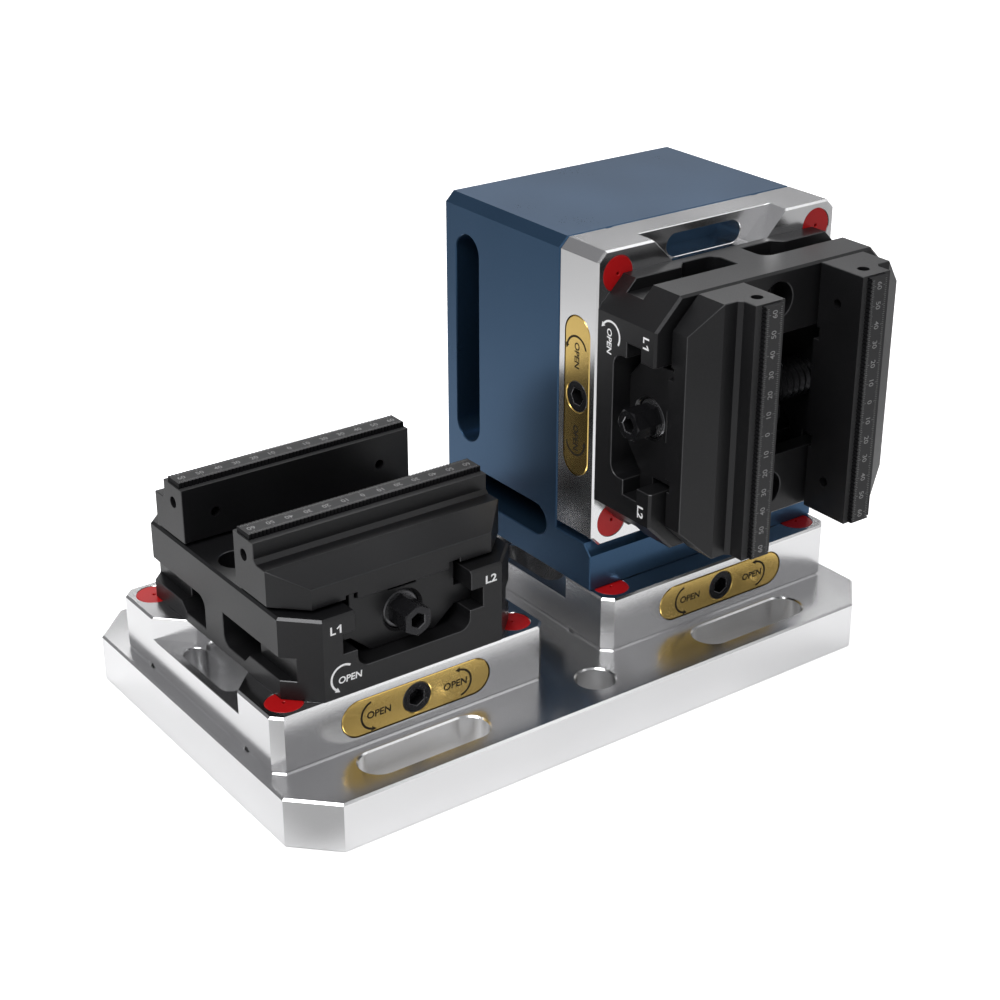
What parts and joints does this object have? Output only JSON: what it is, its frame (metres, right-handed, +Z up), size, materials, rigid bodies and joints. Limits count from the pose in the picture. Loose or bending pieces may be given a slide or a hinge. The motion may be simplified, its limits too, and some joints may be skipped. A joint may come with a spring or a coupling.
{
  "type": "zero point workholding fixture",
  "caption": "Zero point fixture: a base plate with quick-change modules, a tower, and self-centring vises whose jaws, spindles and lock bars move.",
  "frame": {"origin": "centre of the base plate's underside", "axes": "+X along the plate from the low vise towards the tower, +Y from the operator's side to the back, +Z up"},
  "size_m": [0.36, 0.2503, 0.236],
  "materials": {
    "base_aluminium": "fine milled, bright, bevels polished",
    "module_steel": "ground and polished",
    "brass_plate": "satin brass with engraved marks",
    "black_oxide": "black oxide, semi-gloss",
    "hardened_steel": "ground",
    "red_cap": "smooth red plastic",
    "tower_blue": "dark blue anodised, satin",
    "vise_black": "blackened steel, satin"
  },
  "bodies": {
    "base": {"base_plate": "base_aluminium", "left_module_body": "module_steel", "left_module_covers": "module_steel", "left_module_cover_screws": "black_oxide", "left_module_front_plate": "brass_plate", "left_module_stud_bushes": "hardened_steel", "left_module_bolts": "black_oxide", "left_module_caps": "red_cap", "right_module_body": "module_steel", "right_module_covers": "module_steel", "right_module_cover_screws": "black_oxide", "right_module_front_plate": "brass_plate", "right_module_stud_bushes": "hardened_steel", "right_module_bolts": "black_oxide", "right_module_caps": "red_cap"},
    "tower": {"tower_block": "tower_blue", "tower_pull_studs": "hardened_steel", "upper_module_body": "module_steel", "upper_module_covers": "module_steel", "upper_module_cover_screws": "black_oxide", "upper_module_front_plate": "brass_plate", "upper_module_stud_bushes": "hardened_steel", "upper_module_bolts": "black_oxide", "upper_module_caps": "red_cap"},
    "left_module_drive": {"left_module_drive_screw": "black_oxide"},
    "left_module_front_bar": {"left_module_front_lock_bar": "hardened_steel"},
    "left_module_rear_bar": {"left_module_rear_lock_bar": "hardened_steel"},
    "right_module_drive": {"right_module_drive_screw": "black_oxide"},
    "right_module_front_bar": {"right_module_front_lock_bar": "hardened_steel"},
    "right_module_rear_bar": {"right_module_rear_lock_bar": "hardened_steel"},
    "upper_module_drive": {"upper_module_drive_screw": "black_oxide"},
    "upper_module_front_bar": {"upper_module_front_lock_bar": "hardened_steel"},
    "upper_module_rear_bar": {"upper_module_rear_lock_bar": "hardened_steel"},
    "left_vise": {"left_vise_body": "vise_black", "left_vise_pull_studs": "hardened_steel", "left_vise_centre_block": "black_oxide", "left_vise_block_screws": "black_oxide"},
    "left_vise_spindle": {"left_vise_spindle": "black_oxide"},
    "left_vise_front_slide": {"left_vise_front_carrier": "vise_black", "left_vise_front_jaw": "vise_black", "left_vise_front_jaw_screws": "black_oxide"},
    "left_vise_rear_slide": {"left_vise_rear_carrier": "vise_black", "left_vise_rear_jaw": "vise_black", "left_vise_rear_jaw_screws": "black_oxide"},
    "upper_vise": {"upper_vise_body": "vise_black", "upper_vise_pull_studs": "hardened_steel", "upper_vise_centre_block": "black_oxide", "upper_vise_block_screws": "black_oxide"},
    "upper_vise_spindle": {"upper_vise_spindle": "black_oxide"},
    "upper_vise_front_slide": {"upper_vise_front_carrier": "vise_black", "upper_vise_front_jaw": "vise_black", "upper_vise_front_jaw_screws": "black_oxide"},
    "upper_vise_rear_slide": {"upper_vise_rear_carrier": "vise_black", "upper_vise_rear_jaw": "vise_black", "upper_vise_rear_jaw_screws": "black_oxide"}
  },
  "joints": [
    {"name": "left_vise_lift", "type": "slide", "parent": "base", "child": "left_vise", "axis": [0, 0, 1], "range_m": [0, 0.04]},
    {"name": "tower_lift", "type": "slide", "parent": "base", "child": "tower", "axis": [0, 0, 1], "range_m": [0, 0.04]},
    {"name": "upper_vise_lift", "type": "slide", "parent": "tower", "child": "upper_vise", "axis": [0, -1, 0], "range_m": [0, 0.04]},
    {"name": "left_module_drive_turn", "type": "hinge", "parent": "base", "child": "left_module_drive", "pos_m": [-0.0955, -0.076, 0.0415], "axis": [0, 1, 0], "range_deg": [0, 720]},
    {"name": "left_module_front_bar_slide", "type": "slide", "parent": "base", "child": "left_module_front_bar", "axis": [0, -1, 0], "range_m": [0, 0.003]},
    {"name": "left_module_rear_bar_slide", "type": "slide", "parent": "base", "child": "left_module_rear_bar", "axis": [0, 1, 0], "range_m": [0, 0.003]},
    {"name": "right_module_drive_turn", "type": "hinge", "parent": "base", "child": "right_module_drive", "pos_m": [0.0975, -0.076, 0.0415], "axis": [0, 1, 0], "range_deg": [0, 720]},
    {"name": "right_module_front_bar_slide", "type": "slide", "parent": "base", "child": "right_module_front_bar", "axis": [0, -1, 0], "range_m": [0, 0.003]},
    {"name": "right_module_rear_bar_slide", "type": "slide", "parent": "base", "child": "right_module_rear_bar", "axis": [0, 1, 0], "range_m": [0, 0.003]},
    {"name": "upper_module_drive_turn", "type": "hinge", "parent": "tower", "child": "upper_module_drive", "pos_m": [0.02, -0.048, 0.1585], "axis": [1, 0, 0], "range_deg": [0, 720]},
    {"name": "upper_module_front_bar_slide", "type": "slide", "parent": "tower", "child": "upper_module_front_bar", "axis": [-1, 0, 0], "range_m": [0, 0.003]},
    {"name": "upper_module_rear_bar_slide", "type": "slide", "parent": "tower", "child": "upper_module_rear_bar", "axis": [1, 0, 0], "range_m": [0, 0.003]},
    {"name": "left_vise_spindle_turn", "type": "hinge", "parent": "left_vise", "child": "left_vise_spindle", "pos_m": [-0.0955, -0.0783, 0.084], "axis": [0, 1, 0], "range_deg": [-810, 2160]},
    {"name": "left_vise_front_jaw_slide", "type": "slide", "parent": "left_vise", "child": "left_vise_front_slide", "axis": [0, 1, 0], "range_m": [-0.009, 0.024]},
    {"name": "left_vise_rear_jaw_slide", "type": "slide", "parent": "left_vise", "child": "left_vise_rear_slide", "axis": [0, -1, 0], "range_m": [-0.009, 0.024]},
    {"name": "upper_vise_spindle_turn", "type": "hinge", "parent": "upper_vise", "child": "upper_vise_spindle", "pos_m": [0.0177, -0.0905, 0.1585], "axis": [1, 0, 0], "range_deg": [-810, 2160]},
    {"name": "upper_vise_front_jaw_slide", "type": "slide", "parent": "upper_vise", "child": "upper_vise_front_slide", "axis": [1, 0, 0], "range_m": [-0.009, 0.024]},
    {"name": "upper_vise_rear_jaw_slide", "type": "slide", "parent": "upper_vise", "child": "upper_vise_rear_slide", "axis": [-1, 0, 0], "range_m": [-0.009, 0.024]}
  ],
  "couplings": [
    {"joint": "left_module_drive_turn", "follows": "left_module_front_bar_slide", "rad_per_m": 4188.7},
    {"joint": "left_module_rear_bar_slide", "follows": "left_module_front_bar_slide", "ratio": 1},
    {"joint": "right_module_drive_turn", "follows": "right_module_front_bar_slide", "rad_per_m": 4188.7},
    {"joint": "right_module_rear_bar_slide", "follows": "right_module_front_bar_slide", "ratio": 1},
    {"joint": "upper_module_drive_turn", "follows": "upper_module_front_bar_slide", "rad_per_m": 4188.7},
    {"joint": "upper_module_rear_bar_slide", "follows": "upper_module_front_bar_slide", "ratio": 1},
    {"joint": "left_vise_spindle_turn", "follows": "left_vise_front_jaw_slide", "rad_per_m": 1570.8},
    {"joint": "left_vise_rear_jaw_slide", "follows": "left_vise_front_jaw_slide", "ratio": 1},
    {"joint": "upper_vise_spindle_turn", "follows": "upper_vise_front_jaw_slide", "rad_per_m": 1570.8},
    {"joint": "upper_vise_rear_jaw_slide", "follows": "upper_vise_front_jaw_slide", "ratio": 1}
  ]
}
